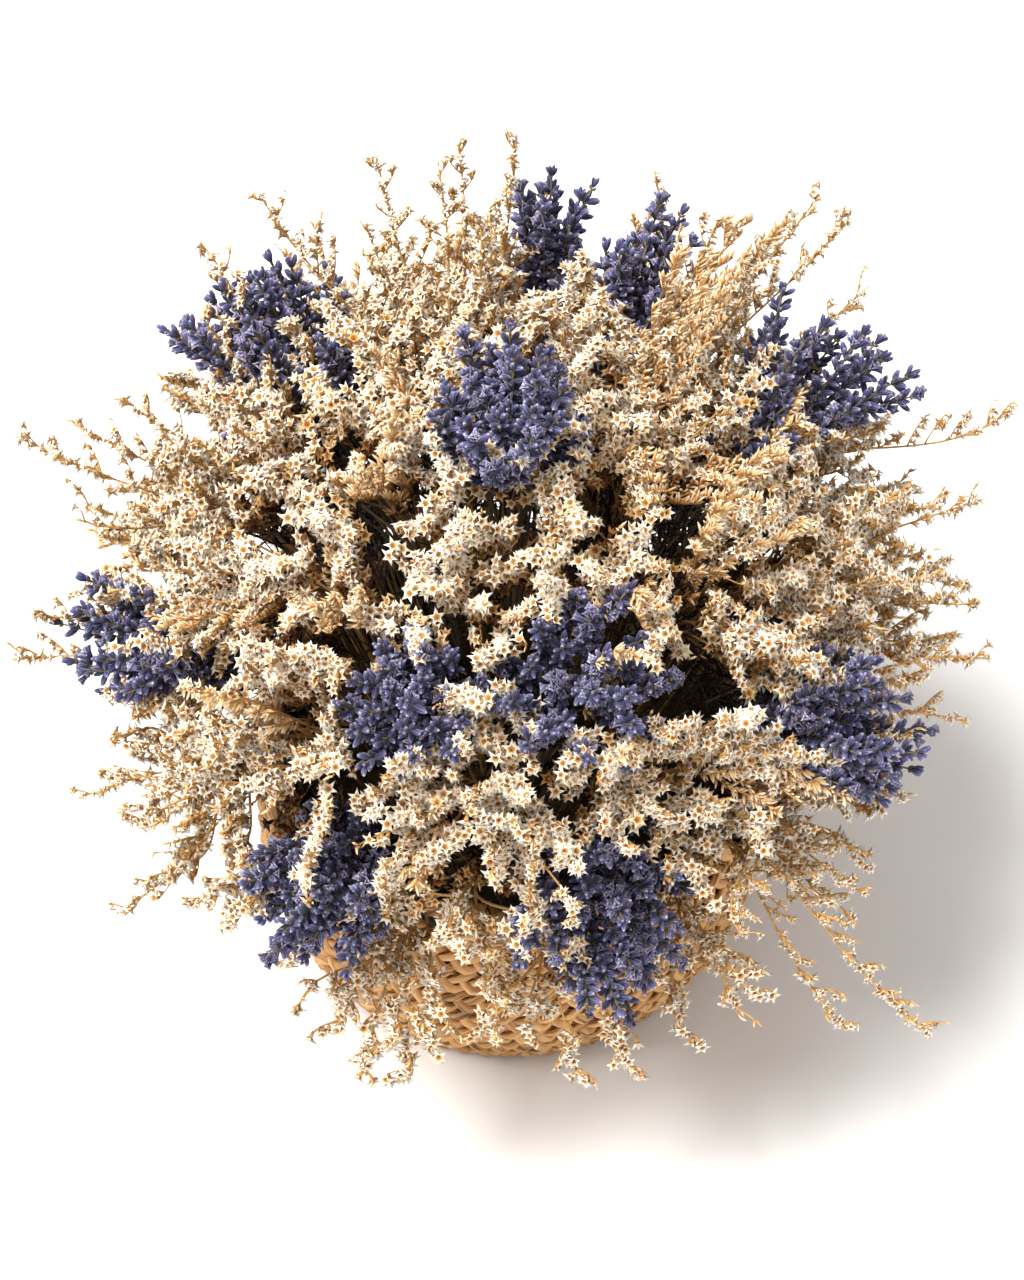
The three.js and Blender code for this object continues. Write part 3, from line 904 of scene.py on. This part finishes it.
budFinish, greenFinish, bractFinish = 0, 1, 2
bud = band(wrap([(0, 0.35 * mm, 0), (1.2 * mm, 0.85 * mm, 0.2), (3.2 * mm, 1.1 * mm, 0.55),
                 (4.9 * mm, 0.75 * mm, 0.8), (5.7 * mm, 0.15 * mm, 0.9)], 6, 0.16),
           *lavender["budBand"], budFinish)
bloom = band(wrap([(0, 0.35 * mm, 0), (1.2 * mm, 0.8 * mm, 0.2), (3.4 * mm, 1.0 * mm, 0.55),
                   (5.6 * mm, 1.45 * mm, 0.9, 0.45), (4.2 * mm, 0.3 * mm, 1)], 6, 0.14),
             *lavender["budBand"], budFinish)
bract = band(wrap([(0, 0.3 * mm, 0), (1.2 * mm, 0.8 * mm, 0.5), (2.6 * mm, 0.05 * mm, 1)], 3),
             *lavender["bractBand"], bractFinish)


def budMaterial():
    bench = Bench("lavenderBud")
    _, u, across, toneAndShading = bench.lanes(lavender["budBand"])
    # Along the bud: the bright lilac stop near the tip is a painted highlight.
    length = bench.ramp(u, [(0, (0.09, 0.06, 0.035)), (0.15, (0.03, 0.028, 0.06)),
                            (0.55, (0.045, 0.048, 0.13)), (0.8, (0.088, 0.09, 0.225)),
                            (0.9, (0.33, 0.32, 0.50)), (1, (0.015, 0.01, 0.025))])
    # Lanes below the middle brighten buds as painted highlights, picked at random. Lanes above it
    # darken towards brown, partly a tone that varies at random and partly painted shade for deep buds.
    shade = bench.ramp(toneAndShading, [(0, (1.9, 1.8, 1.55)), (0.35, (1, 1, 1)), (0.7, (0.75, 0.66, 0.62)),
                              (1, (0.35, 0.27, 0.22))])
    # Ribs: lighter ridges and darker grooves, partly the calyx's own pale ribs and partly painted
    # highlight and shade.
    turn = across * (12 * math.pi)
    ribs = turn.only("COSINE") * 0.5 + 0.5
    tone = bench.ramp(ribs, [(0, (0.5, 0.5, 0.55)), (0.7, (1.0, 1.0, 1.0)), (1, (1.6, 1.55, 1.4))])
    colour = bench.blend(1.0, bench.blend(1.0, length, shade, "MULTIPLY"), tone, "MULTIPLY")
    return bench.surface(Base_Color=colour, Roughness=0.8, Specular_IOR_Level=0.2,
                         Sheen_Weight=0.3, Sheen_Roughness=0.5)


lavenderFinishes = [budMaterial(),
                    stalkMaterial("lavenderStalk", lavender["stemBand"], (0.22, 0.18, 0.10),
                                  (0.05, 0.04, 0.025)),
                    stalkMaterial("lavenderBract", lavender["bractBand"], (0.25, 0.16, 0.11),
                                  (0.07, 0.05, 0.04))]


def growBunch(name):
    growth = Growth()
    path = smoothPath(spines[name], 28)
    heading, lift, share, wide, count, deep = lavenderLooks[name]
    root, tip = path[6], ballMiddle + wayTo(heading, lift) * ballRadius * share
    reach = np.linalg.norm(tip - root)
    middle = unit(tip - mouth)
    u, v = sideways(middle)
    k = np.arange(count)
    turn = k * golden + chance.uniform(0, 0.5, count)
    out = np.sqrt((k + 0.5) / count)[:, None]
    across = u * np.cos(turn)[:, None] + v * np.sin(turn)[:, None]
    ends = tip + across * out * wide - middle * (out ** 2 * 14 * mm
                                                 + chance.uniform(0, deep, (count, 1)))
    arrive = unit(middle + across * out * 0.45 + chance.normal(0, 0.08, (count, 3)))
    start = root + across * out * 2.5 * mm
    leave = unit(path[9] - path[6])
    curves = bezier(start, start + leave * reach * 0.35, ends - arrive * reach * 0.4, ends, 16)
    growth.tubes(curves, np.linspace(0.7, 0.45, 16)[None] * mm * np.ones((count, 1)), 4,
                 chance.uniform(0, 0.8, count), (*lavender["stemBand"], greenFinish))
    # The main stem takes a dark lane: painted shade low in the bunch.
    growth.tubes(path[None, :8], np.full((1, 8), 1.6 * mm), 6, np.array([0.9]),
                 (*lavender["stemBand"], greenFinish))
    tangent = unit(np.gradient(curves, axis=1))
    for i in range(count):
        run = np.concatenate([[0], np.cumsum(np.linalg.norm(np.diff(curves[i], axis=0), axis=1))])
        whorls = lavender["whorls"] + int(chance.integers(-1, 3))
        back = np.arange(whorls) * chance.uniform(5.6, 7.0) * mm
        if chance.random() < 0.6:
            back = np.append(back, back[-1] + chance.uniform(8, 14) * mm)
        for w, at in enumerate(back):
            place = pick(curves[i], run, [run[-1] - at])[0]
            axis = unit(pick(tangent[i], run, [run[-1] - at])[0])
            number = 4 if w == 0 else lavender["buds"]
            spin = np.arange(number) * 2 * math.pi / number + chance.uniform(0, 6.3)
            tilt = (0.4 if w == 0 else 0.85) + chance.normal(0, 0.2, number)
            axes = leaning(np.broadcast_to(axis, (number, 3)), tilt, spin)
            size = (0.85 if w == 0 else 1.0) * chance.uniform(0.85, 1.25, number)
            # Buds: tone and painted highlights vary at random, and depth adds painted shade.
            tonesAndShading = np.clip(chance.normal(0.35, 0.22, number) + depthOf(place) * 1.2, 0, 1)
            shape = bloom if chance.random() < 0.3 else bud
            growth.copies(shape, place + axes * 0.3 * mm, axes, chance.uniform(0, 6.3, number),
                          size, tonesAndShading)
            lower = leaning(np.broadcast_to(axis, (2, 3)), np.array([0.9, 0.9]),
                            np.array([0, math.pi]) + w * 1.57)
            growth.copies(bract, np.broadcast_to(place - axis * 0.6 * mm, (2, 3)), lower,
                          np.zeros(2), np.array([1.0, 1.0]), chance.uniform(0, 1, 2))
    return growth


for name in spines:
    if name.startswith("lavender"):
        growBunch(name).piece(name.replace("lavender_bunch", "lavenderBunch"), lavenderFinishes,
                              "lavender", [name])
print("lavender grown")


# Floor, light and camera.

studio = {
    "floor": 0.92, "floorHalf": 60,
    "key": 4.7, "keyTone": (1.0, 0.985, 0.95), "keyWay": (-0.42, -0.14, 0.90), "keySoftness": 0.45,
    "fill": 0.62, "fillTone": (1.0, 0.98, 0.965, 1), "tilt": math.radians(50),
    "distance": 1.3, "aim": 0.165, "lens": 91.4,
}

mesh = bpy.data.meshes.new("floor")
far = studio["floorHalf"]
mesh.from_pydata([(-far, -far, 0), (far, -far, 0), (far, far, 0), (-far, far, 0)], [], [(0, 1, 2, 3)])
floor = bpy.data.objects.new("floor", mesh)
bpy.context.scene.collection.objects.link(floor)
bench = Bench("floorPaint")
mesh.materials.append(bench.surface(Base_Color=(studio["floor"],) * 3 + (1,), Roughness=0.9,
                                    Specular_IOR_Level=0.0))

sun = bpy.data.lights.new("key", "SUN")
sun.energy = studio["key"]
sun.angle = studio["keySoftness"]
sun.color = studio["keyTone"]
key = bpy.data.objects.new("key", sun)
key.rotation_euler = Vector(studio["keyWay"]).to_track_quat("Z", "Y").to_euler()
bpy.context.scene.collection.objects.link(key)

world = bpy.data.worlds.new("studio")
bpy.context.scene.world = world
world.use_nodes = True
background = next(n for n in world.node_tree.nodes if n.type == "BACKGROUND")
background.inputs["Color"].default_value = studio["fillTone"]
background.inputs["Strength"].default_value = studio["fill"]

camera = bpy.data.objects.new("camera", bpy.data.cameras.new("camera"))
camera.data.lens = studio["lens"]
camera.data.sensor_width = 36
aim = Vector((0, 0, studio["aim"]))
back = Vector((0, -math.cos(studio["tilt"]), math.sin(studio["tilt"])))
camera.location = aim + back * studio["distance"]
camera.rotation_euler = back.to_track_quat("Z", "Y").to_euler()
bpy.context.scene.collection.objects.link(camera)
bpy.context.scene.camera = camera
bpy.context.scene.view_settings.view_transform = "Standard"

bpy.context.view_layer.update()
triangles = sum(len(o.data.polygons) for o in bpy.data.objects if o.type == "MESH")
print("faces in all:", triangles)
